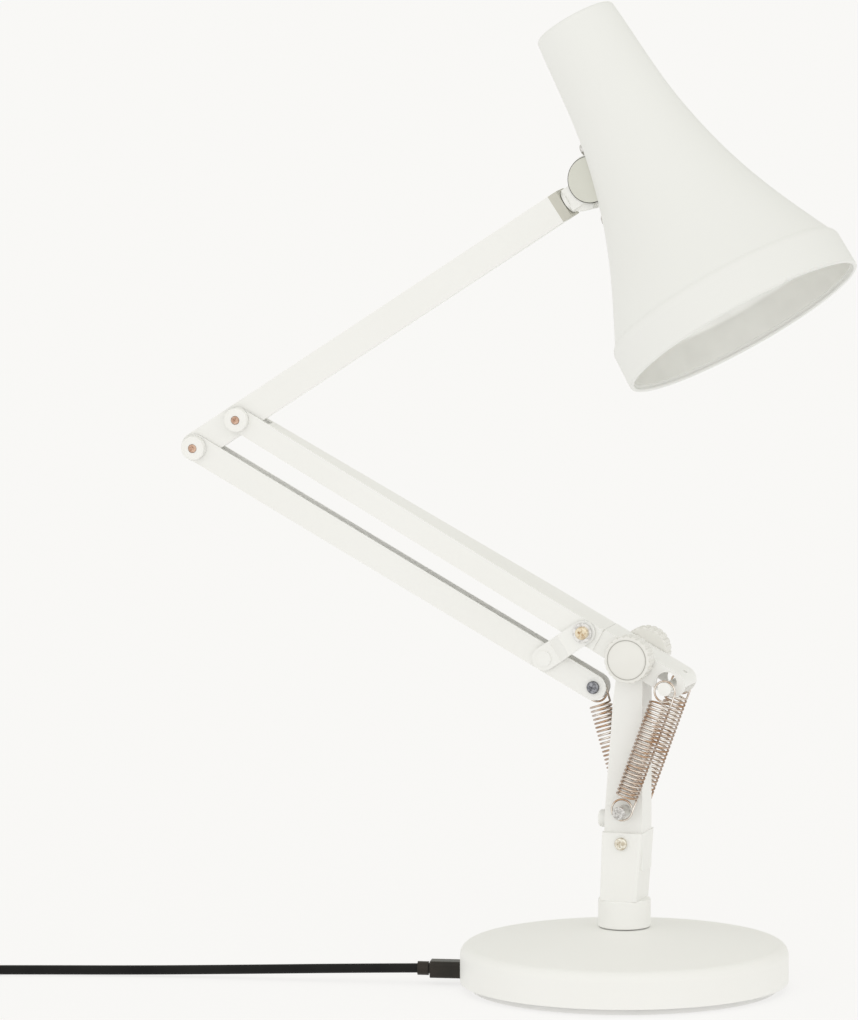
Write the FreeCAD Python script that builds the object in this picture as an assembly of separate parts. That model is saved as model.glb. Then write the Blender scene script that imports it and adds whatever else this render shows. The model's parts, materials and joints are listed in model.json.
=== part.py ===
import math
import os

import FreeCAD
import Part
from FreeCAD import Vector as V

# Spring-balanced desk lamp.  Millimetres, +Z up.
# Origin: centre of the foot pad's underside.  The arms lie in the XZ plane at rest,
# the elbow points to -X and the shade to +X.

# --- base
base_r = 60.0
pad_r = 56.0
pad_h = 2.6
cover_side_h = 12.4
cover_corner_r = 4.0
cover_dome_r = 9.6
cover_dome_h = 22.7
cover_wall = 1.2
weight_clear = 0.3
weight_h = 8.0
board_l = 26.0
board_w = 15.0
board_h = 1.2
# --- swivel
collar_r = 9.6
collar_h = 10.4
stud_r = 3.0
fit = 0.05
gap = 0.3
# --- post
block_h = 25.2
block_foot_x = (-7.1, 6.9)
block_top_x = (-6.4, 8.9)
post_w = 11.6
post_wall = 1.2
block_wall = 2.2
block_w = post_w + 2 * block_wall
block_screw_r = 1.5
block_screw_x = 1.3
block_screw_z = 54.8
tongue_h = 14.0
post_right = 8.5
post_left_low = -5.9
post_left_high = -2.6
shoulder_x = 5.0
shoulder_z = 123.7
spring_pin_x = 1.9
spring_pin_z = 66.8
spring_pin_r = 2.2
stop_rise = 3.9
stop_r = 3.2
shoulder_bolt_r = 1.5
washer_t = 0.5
# --- knobs
knob_r = 8.7
knob_h = 6.6
knob_cap_r = 7.2
knob_cap_rise = 1.3
knob_scallops = 22
# --- main arm
main_angle = 28.05
main_len = 172.0
bar_drop = 1.0
bar_h = 8.8
bar_wall = 0.6
bar_w_elbow = 5.8
bar_taper_end = -40.0
bar_end = -14.0
web_start = 11.2
bracket_wall = 1.0
bracket_gap = 0.05
bracket_w = post_w + 2 * (washer_t + bracket_gap + bracket_wall)
bracket_h = 9.4
shim_t = 0.05
bar_w_shoulder = bracket_w + 2 * (shim_t + bar_wall)
bracket_front = -36.0
tail_hole_u = 15.7
tail_hole_w = -1.6
tail_hole_r = 3.95
tail_pin_u = 17.1
tail_pin_w = -2.6
tail_end_u = 18.0
elbow_pin_r = 1.5
disc_r = 4.4
disc_h = 2.6
# --- parallelogram
link_len = 20.0
link_u = -20.0
link_t = 1.2
link_r = 4.4
link_bend_start = 9.0
link_bend_end = 5.2
tie_w = 5.8
tie_wall = 0.6
tie_h = 9.7
tie_reach = 21.0
# --- forearm
fore_angle = 34.2
fore_h = 10.8
fore_w_elbow = 4.0
fore_w_head = 9.6
fore_len = 147.7
fore_wall = 0.7
plug_t = 3.8
# --- head
head_reach = 164.6
head_rise = 1.7
head_lean = 33.45
head_turn = -8.24
disc_joint_r = 8.4
disc_joint_w = 9.0
lug_w = 3.0
lug_rim = 1.0
neck_r = 4.5
neck_dome = 1.0
shade_len = 128.2
shade_axis_off = 22.8
shade_axis_s = 53.1
shade_screw_s = (41.9, 68.2)
shade_wall = 1.2
# outer radius of the shade at distances from its closed end
shade_profile = [(16.0, 16.9), (36.0, 18.8), (55.0, 22.3), (72.0, 27.0), (89.5, 33.6),
                 (106.0, 41.2), (113.0, 44.6)]
shade_top_r = 15.6
shade_mouth_r = 46.8
shade_band = 11.5
led_s = 84.0
led_r = 25.0
# --- springs
coil_r = 4.3
wire_r = 0.42
coil_pitch = 1.52
outer_spring_gap = 0.4
outer_spring_y = post_w / 2 + outer_spring_gap + coil_r
loop_r = 3.55
foot_loop_r = 3.2
top_loop_r = 3.6
# --- cable
cable_r = 1.75
boot_angle = 10.0
boot_z = 5.6
boot_len = 11.2
boot_w = 8.0
boot_h = 6.2
ring_len = 4.4
coil_centre = (-273.7, -87.75)
coil_in_r = 12.25
coil_out_r = 26.25
coil_h = 14.0
cable_points = [(-75.0, -13.2, 5.6), (-99.4, -17.3, 4.9), (-134.5, -22.5, 3.5), (-174.4, -28.8, 2.1),
                (-213.3, -38.4, 1.76), (-249.0, -49.9, 1.76), (-271.3, -59.85, 1.76)]
tail_points = [(-290.5, -110.2, 11.8), (-285.0, -120.8, 8.9), (-271.5, -130.2, 5.4), (-253.0, -133.0, 4.05)]
usb_len = 22.0
usb_w = 15.0
usb_h = 8.0
usb_shell_l = 15.0
usb_shell_w = 12.0
usb_shell_h = 4.5

parts = {}


def add(name, *shapes):
    """One node: a single solid, or a group of separate solids."""
    solids = [s for shape in shapes for s in shape.Solids]
    parts[name] = solids[0] if len(solids) == 1 else Part.makeCompound(solids)


def box(x0, x1, y0, y1, z0, z1):
    return Part.makeBox(x1 - x0, y1 - y0, z1 - z0, V(x0, y0, z0))


def cyl(r, a, b):
    a, b = V(*a), V(*b)
    return Part.makeCylinder(r, (b - a).Length, a, b - a)


def bar_y(r, x, z, y0, y1):
    return Part.makeCylinder(r, y1 - y0, V(x, y0, z), V(0, 1, 0))


def prism_xz(points, y0, y1):
    wire = Part.makePolygon([V(x, y0, z) for x, z in points + points[:1]])
    return Part.Face(wire).extrude(V(0, y1 - y0, 0))


def prism_xy(points, z0, z1):
    wire = Part.makePolygon([V(x, y, z0) for x, y in points + points[:1]])
    return Part.Face(wire).extrude(V(0, 0, z1 - z0))


def stadium(xa, xb, z, r, y0, y1):
    """Flat bar with two round ends, its centres at xa and xb."""
    body = box(xa, xb, y0, y1, z - r, z + r)
    return body.fuse([bar_y(r, xa, z, y0, y1), bar_y(r, xb, z, y0, y1)]).removeSplitter()


def revolve_z(edges):
    return Part.Face(Part.Wire(edges)).revolve(V(0, 0, 0), V(0, 0, 1), 360)


def line(a, b):
    return Part.LineSegment(V(a[0], 0, a[1]), V(b[0], 0, b[1])).toShape()


def arc(a, m, b):
    return Part.Arc(V(a[0], 0, a[1]), V(m[0], 0, m[1]), V(b[0], 0, b[1])).toShape()


def spline(points):
    curve = Part.BSplineCurve()
    curve.interpolate([V(x, 0, z) for x, z in points])
    return curve.toShape()


def turn_y(degrees, origin):
    """Placement that turns about +Y and moves the local origin to a point of the XZ plane."""
    return FreeCAD.Placement(V(origin[0], 0, origin[1]), FreeCAD.Rotation(V(0, 1, 0), degrees))


def placed(shape, placement):
    copy = shape.copy()
    copy.Placement = placement.multiply(copy.Placement)
    return copy


def add_at(placement, name, *shapes):
    add(name, *[placed(s, placement) for s in shapes])


def dome_head(r, h, x, z, y, out):
    """Cross-recessed pan head of a screw along Y; out is +1 or -1."""
    head = Part.makeCylinder(r, h, V(x, y, z), V(0, out, 0))
    top = y + out * h
    rim = [e for e in head.Edges if abs(e.CenterOfMass.y - top) < 1e-6]
    head = head.makeFillet(min(0.45 * h, 0.3 * r), rim)
    depth = 0.45 * h
    low = y + out * (h - depth)
    high = y + out * (h + 0.1)
    cut = box(x - 0.12 * r, x + 0.12 * r, min(low, high), max(low, high), z - 0.55 * r, z + 0.55 * r)
    cross = box(x - 0.55 * r, x + 0.55 * r, min(low, high), max(low, high), z - 0.12 * r, z + 0.12 * r)
    return head.cut([cut, cross])


# ------------------------------------------------------------------ base
def dome_z(r):
    """Height of the cover's outside at radius r, on one shallow arc."""
    edge = base_r - cover_corner_r
    drop = cover_dome_h - cover_side_h - cover_corner_r
    return cover_dome_h - drop * ((r - cover_dome_r) / (edge - cover_dome_r)) ** 1.35


def cover_profile(inset):
    """Outline of the cover from its axis out to the rim, moved inwards by a wall."""
    edge = base_r - cover_corner_r
    r_out = base_r - inset
    top = cover_side_h + cover_corner_r - inset
    k = (cover_corner_r - inset) * math.sqrt(0.5)
    mid = (edge + cover_dome_r) / 2
    crown = arc((cover_dome_r, cover_dome_h - inset), (mid, dome_z(mid) - inset), (edge, top))
    corner = arc((edge, top), (edge + k, cover_side_h + k), (r_out, cover_side_h))
    return crown, corner, r_out


def filled_cover(inset, z_low):
    crown, corner, r_out = cover_profile(inset)
    top = (0, cover_dome_h - inset)
    return revolve_z([line(top, (cover_dome_r, cover_dome_h - inset)), crown, corner,
                      line((r_out, cover_side_h), (r_out, z_low)), line((r_out, z_low), (0, z_low)),
                      line((0, z_low), top)])


def boot_place():
    turn = FreeCAD.Rotation(V(0, 0, 1), 180 + boot_angle)
    return FreeCAD.Placement(V(0, 0, boot_z), turn)


def make_base():
    add('foot_pad', cyl(pad_r, (0, 0, 0), (0, 0, pad_h)))
    nut_room = cyl(bush_r() + 2.0, (0, 0, 0), (0, 0, pad_h + 3.4))
    inner = base_r - cover_wall - weight_clear
    weight = cyl(inner, (0, 0, pad_h), (0, 0, pad_h + weight_h))
    room_y = board_w / 2 + 2
    pocket = box(inner - board_l - 6.0, inner + 1, -room_y, room_y, -boot_z + pad_h + 1.0, 30)
    pocket = placed(pocket, boot_place())
    hub = cyl(13.0, (0, 0, pad_h), (0, 0, cover_dome_h - cover_wall - 1.0))
    angles = [math.radians(a) for a in (60, -60, 0)]
    spots = [(42 * math.cos(a), 42 * math.sin(a)) for a in angles]
    top = pad_h + weight_h
    holes = [cyl(1.5 + fit, (x, y, 0), (x, y, 30)) for x, y in spots]
    sinks = [cyl(3.0, (x, y, 0), (x, y, pad_h + 1.6)) for x, y in spots]
    board_z = pad_h + 2.6 - boot_z
    x0 = inner - board_l - 4.0
    pillars = [cyl(1.6, (x, y, board_z - 2.0), (x, y, board_z))
               for x in (x0 + 3, x0 + board_l - 3) for y in (-board_w / 2 + 2.5, board_w / 2 - 2.5)]
    weight = weight.fuse(hub).removeSplitter().cut([nut_room, pocket] + holes + sinks)
    weight = weight.cut(cyl(bush_r(), (0, 0, 0), (0, 0, 40)))
    weight = weight.fuse([placed(p, boot_place()) for p in pillars])
    add('base_weight', weight)
    bosses = [cyl(3.0, (x, y, top), (x, y, dome_z(42) - 0.5 * cover_wall)) for x, y in spots]
    shell = filled_cover(0, pad_h).cut(filled_cover(cover_wall, pad_h - 1)).fuse(bosses)
    boot_hole = box(base_r - 6, base_r + 4, -boot_w / 2, boot_w / 2, -boot_h / 2, boot_h / 2)
    shell = shell.cut([cyl(1.5, (x, y, 0), (x, y, top + 3.5)) for x, y in spots])
    shell = shell.cut([cyl(bush_r(), (0, 0, 10), (0, 0, 40)), placed(boot_hole, boot_place())])
    add('base_cover', shell)
    screws = [cyl(1.5, (x, y, pad_h), (x, y, top + 3.5)).fuse(cyl(2.7, (x, y, pad_h), (x, y, pad_h + 1.6)))
              for x, y in spots]
    add('cover_screws', *screws)
    board = box(x0, x0 + board_l, -board_w / 2, board_w / 2, board_z, board_z + board_h)
    chips = [box(x0 + 3, x0 + 9, -5, 2, board_z + board_h, board_z + board_h + 2.2),
             box(x0 + 12, x0 + 16, 1, 5, board_z + board_h, board_z + board_h + 3.0),
             box(x0 + 18, x0 + 23, -6, -1, board_z + board_h, board_z + board_h + 1.6)]
    add_at(boot_place(), 'driver_board', board.fuse(chips))


def bush_r():
    return stud_r + 2.0


def make_swivel():
    low = pad_h + 0.6
    bush = cyl(bush_r() - fit, (0, 0, low + 2.6), (0, 0, cover_dome_h))
    add('swivel_bush', bush.cut(cyl(stud_r + fit, (0, 0, 0), (0, 0, 40))))
    collar_low = cover_dome_h + gap
    collar = cyl(collar_r, (0, 0, collar_low), (0, 0, collar_low + collar_h))
    rim = [e for e in collar.Edges if len(e.Vertexes) == 1]
    add('post_collar', collar.makeFillet(0.6, rim).cut(cyl(stud_r, (0, 0, 0), (0, 0, 60))))
    stud = cyl(stud_r, (0, 0, low), (0, 0, collar_low + collar_h))
    wire_hole = cyl(1.3, (0, 0, 0), (0, 0, 60))
    bore = cyl(stud_r, (0, 0, 0), (0, 0, 60))
    nut = hexagon(bush_r() - 0.2, low, low + 2.0).cut(bore)
    washer = cyl(bush_r() + 0.6, (0, 0, low + 2.0), (0, 0, low + 2.5)).cut(bore)
    add('swivel_stud', stud.cut(wire_hole), nut, washer)


def hexagon(r, z0, z1):
    points = [(r * math.cos(math.radians(60 * i)), r * math.sin(math.radians(60 * i))) for i in range(6)]
    return prism_xy(points, z0, z1)


# ------------------------------------------------------------------ post
def make_post():
    low = cover_dome_h + gap + collar_h
    top = low + block_h
    outline = [(block_foot_x[0], low), (block_foot_x[1], low), (block_top_x[1], top), (block_top_x[0], top)]
    block = prism_xz(outline, -block_w / 2, block_w / 2)
    block = block.makeFillet(1.0, [e for e in block.Edges if abs(e.tangentAt(0).z) > 0.9])
    tongue = box(post_left_low, post_right, -post_w / 2, post_w / 2, top - tongue_h, top + 1)
    lead_hole = cyl(1.3, (0, 0, low - 1), (0, 0, top - tongue_h + 1))
    screw_hole = bar_y(block_screw_r, block_screw_x, block_screw_z, -20, 20)
    add('post_block', block.cut([tongue, lead_hole, screw_hole]))
    channel = post_outline(-post_w / 2, post_w / 2, top - tongue_h)
    inner_w = post_w / 2 - post_wall
    hollow = box(-20, post_right - post_wall, -inner_w, inner_w, top - 10, 200)
    holes = [bar_y(shoulder_bolt_r, shoulder_x, shoulder_z, -20, 20),
             bar_y(spring_pin_r - 0.6, spring_pin_x, spring_pin_z, -20, 20),
             screw_hole]
    add('post_channel', channel.cut([hollow] + holes))
    make_block_screw()
    make_spring_pin()
    make_stop_screw(top + stop_rise)
    lead_x = post_right - post_wall - 1.2
    lead_y = inner_w - 1.2
    add('post_lead', cyl(1.0, (lead_x, lead_y, top + 1), (lead_x, lead_y, shoulder_z - 8)))


def make_block_screw():
    side = block_w / 2
    face = side + washer_t
    heads = [dome_head(2.3, 1.3, block_screw_x, block_screw_z, s * face, s) for s in (-1, 1)]
    shank = bar_y(block_screw_r, block_screw_x, block_screw_z, -face, face)
    add('block_screw', heads[0].fuse([shank, heads[1]]))
    hole = bar_y(block_screw_r, block_screw_x, block_screw_z, -20, 20)
    rings = [bar_y(2.95, block_screw_x, block_screw_z, *sorted((s * side, s * face))).cut(hole)
             for s in (-1, 1)]
    add('block_washers', *rings)


def make_spring_pin():
    reach = outer_spring_y + 2.2
    sleeve = [bar_y(spring_pin_r, spring_pin_x, spring_pin_z, *sorted((s * post_w / 2, s * reach)))
              for s in (-1, 1)]
    core = bar_y(spring_pin_r - 0.6, spring_pin_x, spring_pin_z, -reach, reach)
    heads = [dome_head(2.5, 1.1, spring_pin_x, spring_pin_z, s * reach, s) for s in (-1, 1)]
    add('spring_pin', core.fuse(sleeve + heads).removeSplitter())


def make_stop_screw(z):
    start = post_left_low - 0.3
    end = post_left_low - 3.6
    nub = cyl(stop_r, (start, 0, z), (end, 0, z))
    nub = nub.makeFillet(1.0, [e for e in nub.Edges if abs(e.CenterOfMass.x - end) < 1e-6])
    shank = cyl(1.2, (start, 0, z), (post_right - post_wall, 0, z))
    add('stop_screw', nub.fuse(shank).removeSplitter())


def post_outline(y0, y1, z_low):
    k = 2.6
    points = [(post_left_low, z_low), (post_right, z_low), (post_right, shoulder_z - 3.2),
              (shoulder_x + 2.0, shoulder_z + 1.0), (shoulder_x - 0.4, shoulder_z + k - 0.05),
              (shoulder_x - 2.6, shoulder_z + 0.6),
              (shoulder_x - 6.2, shoulder_z - 6.0), (post_left_high, 108.0), (post_left_low, 64.0)]
    return prism_xz(points, y0, y1)


# ------------------------------------------------------------------ knobs and shoulder
def make_shoulder():
    reach = bracket_w / 2 + gap + 4.5
    bolt = bar_y(shoulder_bolt_r - fit, shoulder_x, shoulder_z, -reach, reach)
    add('shoulder_bolt', bolt)
    rings = []
    for side, name in ((-1, 'near'), (1, 'far')):
        inner, outer = sorted((side * (post_w / 2), side * (post_w / 2 + washer_t)))
        ring = bar_y(2.6, shoulder_x, shoulder_z, inner, outer)
        rings.append(ring.cut(bar_y(shoulder_bolt_r, shoulder_x, shoulder_z, -30, 30)))
        add(name + '_knob', make_knob(side, reach))
    add('friction_washers', *rings)


def make_knob(side, reach):
    """Scalloped grip with a smooth domed middle."""
    start = bracket_w / 2 + gap
    face = start + knob_h
    grip = Part.makeCylinder(knob_r, knob_h, V(shoulder_x, side * start, shoulder_z), V(0, side, 0))
    grip = grip.makeFillet(0.7, [e for e in grip.Edges if len(e.Vertexes) == 1])
    cuts = []
    for i in range(knob_scallops):
        a = 2 * math.pi * i / knob_scallops
        x = shoulder_x + (knob_r + 0.15) * math.cos(a)
        z = shoulder_z + (knob_r + 0.15) * math.sin(a)
        cuts.append(bar_y(0.62, x, z, *sorted((side * (start - 1), side * (face + 1)))))
    ball = (knob_cap_r ** 2 + knob_cap_rise ** 2) / (2 * knob_cap_rise)
    low, high = sorted((side * (face - 0.5), side * (face + knob_cap_rise)))
    disc = bar_y(knob_cap_r, shoulder_x, shoulder_z, low, high)
    dome = Part.makeSphere(ball, V(shoulder_x, side * (face + knob_cap_rise - ball), shoulder_z))
    cuts.append(bar_y(shoulder_bolt_r, shoulder_x, shoulder_z, -reach, reach))
    return grip.cut(cuts[:-1]).fuse(disc.common(dome)).cut(cuts[-1])


# ------------------------------------------------------------------ main arm
def arm_place():
    return turn_y(main_angle, (shoulder_x, shoulder_z))


def make_main_arm():
    at = arm_place()
    half = bar_h / 2
    mid = -bar_drop
    u0 = -main_len
    plan = [(u0 - half, bar_w_elbow / 2), (bar_taper_end, bar_w_shoulder / 2), (bar_end, bar_w_shoulder / 2)]
    outer = prism_xy(plan + [(x, -y) for x, y in reversed(plan)], mid - half, mid + half)
    thin = [(x, y - bar_wall) for x, y in plan]
    thin[0] = (thin[0][0] - 5, thin[0][1])
    thin[-1] = (thin[-1][0] + 5, thin[-1][1])
    hollow = prism_xy(thin + [(x, -y) for x, y in reversed(thin)], mid - half - 5, mid + half - bar_wall)
    profile = box(u0, bar_end, -20, 20, mid - half, mid + half).fuse(bar_y(half, u0, mid, -20, 20))
    window_y = bar_w_elbow / 2 - bar_wall + 0.3
    window = box(u0 - 10, u0 + web_start, -window_y, window_y, mid, mid + half + 5)
    bar = outer.common(profile).cut([hollow, window])
    link_hole = bar_y(1.5, link_u, mid, -20, 20)
    bar = bar.cut([bar_y(elbow_pin_r, u0, mid, -20, 20), link_hole])
    add_at(at, 'main_bar', bar)
    make_bracket(at, mid, half)
    make_arm_screws(at, mid)
    make_elbow_pins(at, mid, half)


def make_bracket(at, mid, half):
    bh = bracket_h / 2
    body = box(bracket_front, tail_end_u, -bracket_w / 2, bracket_w / 2, mid - bh, mid + bh)
    body = body.fuse(bar_y(bh, tail_end_u, mid, -bracket_w / 2, bracket_w / 2)).removeSplitter()
    front_cut = box(bracket_front - 1, bar_end + 0.3, -20, 20, mid + half - bar_wall - 0.02, 30)
    front_low = box(bracket_front - 1, bar_end + 0.3, -20, 20, -30, mid - half)
    inner = bracket_w / 2 - bracket_wall
    link_hole = bar_y(1.5, link_u, mid, -20, 20)
    hollow = box(bracket_front - 5, tail_end_u + 1.5, -inner, inner, -30, mid + bh - bracket_wall)
    relief = box(tail_end_u - 9, tail_end_u + 20, -inner, inner, -30, mid + bh - bracket_wall - 2.4)
    body = body.cut([front_cut, front_low, hollow, relief])
    holes = [bar_y(shoulder_bolt_r, 0, 0, -20, 20), link_hole,
             bar_y(tail_hole_r, tail_hole_u, tail_hole_w, -20, 20),
             cyl(0.9, (tail_end_u + 0.5, 0, 0), (tail_end_u + 0.5, 0, 20))]
    bracket = body.cut(holes)
    pad_y = bar_w_shoulder / 2 - bar_wall
    shims = []
    for s in (-1, 1):
        y0, y1 = sorted((s * bracket_w / 2, s * pad_y))
        shims.append(box(bracket_front + 1, bar_end - 1, y0, y1, mid - 3, mid + 3).cut(link_hole))
    add_at(at, 'shoulder_bracket', bracket.fuse(shims).removeSplitter())


def make_arm_screws(at, mid):
    side = bar_w_shoulder / 2
    near = -(side + gap + link_t + gap)
    shank = bar_y(1.5, link_u, mid, near - 0.6, side)
    head = dome_head(2.4, 1.5, link_u, mid, near - 0.6, -1)
    far_head = dome_head(2.4, 1.3, link_u, mid, side, 1)
    add_at(at, 'link_screw', shank.fuse([head, far_head]))
    ring = bar_y(3.6, link_u, mid, near - 0.6, near).cut(bar_y(1.5, link_u, mid, -30, 0))
    add_at(at, 'link_washer', ring)
    wide = outer_spring_y + 1.2
    pin = bar_y(1.9, tail_pin_u, tail_pin_w, -wide, wide)
    heads = [bar_y(2.5, tail_pin_u, tail_pin_w, *sorted((s * wide, s * (wide + 1.0)))) for s in (-1, 1)]
    add_at(at, 'tail_pin', pin.fuse(heads))


def make_elbow_pins(at, mid, half):
    u0 = -main_len
    slope = (bar_w_shoulder - bar_w_elbow) / 2 / (bar_taper_end - u0 + half)
    side = bar_w_elbow / 2 + (half + disc_r) * slope + 0.1
    screws = [dome_head(1.55, 0.6, u0, mid, s * (side + disc_h - 0.5), s) for s in (-1, 1)]
    deep = side + disc_h - 0.5
    add_at(at, 'elbow_pin', bar_y(elbow_pin_r, u0, mid, -deep, deep).fuse(screws).removeSplitter())
    add_at(at, 'elbow_discs', *[elbow_disc(u0, mid, s, side) for s in (-1, 1)])
    lead_z = mid + half - bar_wall - 1.2
    add_at(at, 'main_lead', cyl(1.0, (u0 + 22, 0, lead_z), (bracket_front - 2, 0, lead_z)))


def elbow_disc(x, z, s, side):
    disc = Part.makeCylinder(disc_r, disc_h, V(x, s * side, z), V(0, s, 0))
    rim = [e for e in disc.Edges if abs(e.CenterOfMass.y - s * (side + disc_h)) < 1e-6]
    recess = bar_y(1.65, x, z, *sorted((s * (side + disc_h - 0.5), s * (side + disc_h + 1))))
    return disc.makeFillet(0.5, rim).cut([recess, bar_y(elbow_pin_r, x, z, -20, 20)])


# ------------------------------------------------------------------ parallelogram
def direction(degrees):
    return math.cos(math.radians(degrees)), math.sin(math.radians(degrees))


def arm_point(u, w):
    c, s = direction(main_angle)
    return shoulder_x + u * c + w * s, shoulder_z - u * s + w * c


def shifted(point, degrees, length):
    c, s = direction(degrees)
    return point[0] + length * c, point[1] + length * s


elbow = arm_point(-main_len, -bar_drop)
link_top = arm_point(link_u, -bar_drop)
tie_top = shifted(elbow, fore_angle + 180, link_len)
link_low = shifted(link_top, fore_angle + 180, link_len)
tie_end = shifted(link_low, -main_angle, tie_reach)
tie_len = math.hypot(tie_end[0] - tie_top[0], tie_end[1] - tie_top[1])


def make_tie_bar():
    at = turn_y(main_angle, tie_top)
    half = tie_h / 2
    y = tie_w / 2
    bar = stadium(0, tie_len, 0, half, -y, y)
    hollow = box(-20, tie_len + 20, -y + tie_wall, y - tie_wall, -half + tie_wall + 0.4, 20)
    lower_gap = box(-20, 9.0, -y + tie_wall, y - tie_wall, -20, 20)
    end_gap = box(tie_len - 7, tie_len + 20, -y + tie_wall, y - tie_wall, -20, 20)
    link_u0 = tie_len - tie_reach
    holes = [bar_y(elbow_pin_r, 0, 0, -20, 20), bar_y(1.5 + 0.12, link_u0, 0, -20, 20),
             bar_y(1.4, tie_len, 0, -20, 20)]
    add_at(at, 'tie_bar', bar.cut([hollow, lower_gap, end_gap] + holes))
    side = y + 0.25
    deep = side + disc_h - 0.5
    screws = [dome_head(1.55, 0.6, 0, 0, s * deep, s) for s in (-1, 1)]
    add_at(at, 'tie_pin', bar_y(elbow_pin_r, 0, 0, -deep, deep).fuse(screws).removeSplitter())
    add_at(at, 'tie_discs', *[elbow_disc(0, 0, s, side) for s in (-1, 1)])
    heads = [dome_head(2.35, 1.1, tie_len, 0, s * y, s) for s in (-1, 1)]
    add_at(at, 'centre_spring_pin', bar_y(1.4, tie_len, 0, -y, y).fuse(heads))


def make_link():
    at = turn_y(-fore_angle, link_top)
    near = -(bar_w_shoulder / 2 + gap)
    low = -(tie_w / 2 + gap)
    t = link_t
    bend_a, bend_b = -link_bend_start, -link_len + link_bend_end
    plan = [(link_r + 2, near), (bend_a, near), (bend_b, low), (-link_len - link_r - 2, low),
            (-link_len - link_r - 2, low - t), (bend_b, low - t), (bend_a, near - t), (link_r + 2, near - t)]
    slab = prism_xy(plan, -link_r, link_r)
    outline = stadium(-link_len, 0, 0, link_r, -40, 10)
    plate = slab.common(outline).cut([bar_y(1.5 + fit, 0, 0, -40, 0), bar_y(1.5, -link_len, 0, -40, 0)])
    add_at(at, 'link_plate', plate)
    rivet = bar_y(1.5, -link_len, 0, low - t, -tie_w / 2 + tie_wall + 0.5)
    head = Part.makeCylinder(2.9, 0.35, V(-link_len, low - t, 0), V(0, -1, 0))
    tail_head = bar_y(1.9, -link_len, 0, -tie_w / 2 + tie_wall + 0.25, -tie_w / 2 + tie_wall + 0.8)
    add_at(at, 'link_rivet', rivet.fuse([head, tail_head]))


# ------------------------------------------------------------------ forearm
def fore_place():
    return turn_y(-fore_angle, elbow)


def make_forearm():
    at = fore_place()
    half = fore_h / 2
    start = -link_len
    plan = [(start - half, fore_w_elbow / 2), (14.0, fore_w_elbow / 2), (fore_len, fore_w_head / 2)]
    outer = prism_xy(plan + [(x, -y) for x, y in reversed(plan)], -half, half)
    profile = box(start, fore_len, -20, 20, -half, half).fuse(bar_y(half, start, 0, -20, 20))
    inner_plan = [(start + 4, fore_w_elbow / 2 - fore_wall), (14.0, fore_w_elbow / 2 - fore_wall),
                  (fore_len + 5, fore_w_head / 2 - fore_wall)]
    inner_plan += [(x, -y) for x, y in reversed(inner_plan)]
    hollow = prism_xy(inner_plan, -half + fore_wall, half - fore_wall)
    bores = [bar_y(elbow_pin_r + fit, 0, 0, -20, 20), bar_y(elbow_pin_r + fit, start, 0, -20, 20)]
    bosses = [bar_y(2.6, x, 0, -fore_w_elbow / 2, fore_w_elbow / 2) for x in (0, start)]
    tube = outer.common(profile).cut(hollow).fuse(bosses).cut(bores)
    add_at(at, 'forearm_tube', tube)
    make_plug(at, half)
    lead_z = -half + fore_wall + 1.1
    add_at(at, 'forearm_lead', cyl(1.0, (16, 0, lead_z), (fore_len - 8, 0, lead_z)))


def make_plug(at, half):
    w = fore_w_head / 2
    cap = box(fore_len, fore_len + plug_t, -w, w, -half, half)
    cap = cap.makeFillet(0.5, [e for e in cap.Edges if abs(e.tangentAt(0).x) > 0.9])
    inner_w = w - fore_wall - 0.3
    inner = box(fore_len - 6, fore_len, -inner_w, inner_w, -half + fore_wall, half - fore_wall)
    ball = (neck_r ** 2 + neck_dome ** 2) / (2 * neck_dome)
    dish = Part.makeSphere(ball + 0.02, V(fore_len + plug_t - neck_dome + ball, 0, 0))
    plug = cap.fuse(inner).cut([cyl(2.2 + fit, (fore_len - 10, 0, 0), (fore_len + 10, 0, 0)), dish])
    add_at(at, 'forearm_plug', plug)


# ------------------------------------------------------------------ head
def swivel_place(pose):
    c, s = direction(fore_angle)
    turn = FreeCAD.Placement(V(0, 0, 0), FreeCAD.Rotation(V(c, 0, s), head_turn), V(elbow[0], 0, elbow[1]))
    return turn.multiply(pose)


joint_centre = shifted(shifted(elbow, fore_angle, head_reach), fore_angle + 90, head_rise)
plug_face = fore_len + plug_t - head_reach


def make_neck():
    """The neck's axis is the forearm's, a little below the disc joint's centre."""
    at = swivel_place(turn_y(-fore_angle, joint_centre))
    axis = -head_rise
    edge = plug_face + gap
    ball = (neck_r ** 2 + neck_dome ** 2) / (2 * neck_dome)
    spigot = cyl(2.2, (edge - 8.0, 0, axis), (edge + 1.0, 0, axis))
    flange = cyl(neck_r, (edge - neck_dome, 0, axis), (edge + 1.4, 0, axis))
    flange = flange.common(Part.makeSphere(ball, V(edge - neck_dome + ball, 0, axis)))
    body = box(edge + 1.0, -4.0, -3.7, 3.7, axis - 4.4, axis + 4.2)
    chin_outline = [(edge + 1.2, axis - 4.3), (edge + 2.4, axis - 5.6), (-4.8, -9.2),
                    (-2.0, -6.0), (-8.0, -2.0)]
    chin = prism_xz(chin_outline, -2.6, 2.6)
    room = bar_y(disc_joint_r + gap, 0, 0, -20, 20)
    lug = bar_y(disc_joint_r + lug_rim, 0, 0, -lug_w / 2, lug_w / 2)
    neck = flange.fuse([body, chin]).cut(room).fuse([lug, spigot]).removeSplitter()
    add_at(at, 'head_neck', neck.cut(bar_y(1.5 + fit, 0, 0, -20, 20)))


def head_place():
    return swivel_place(turn_y(-head_lean, joint_centre))


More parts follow.
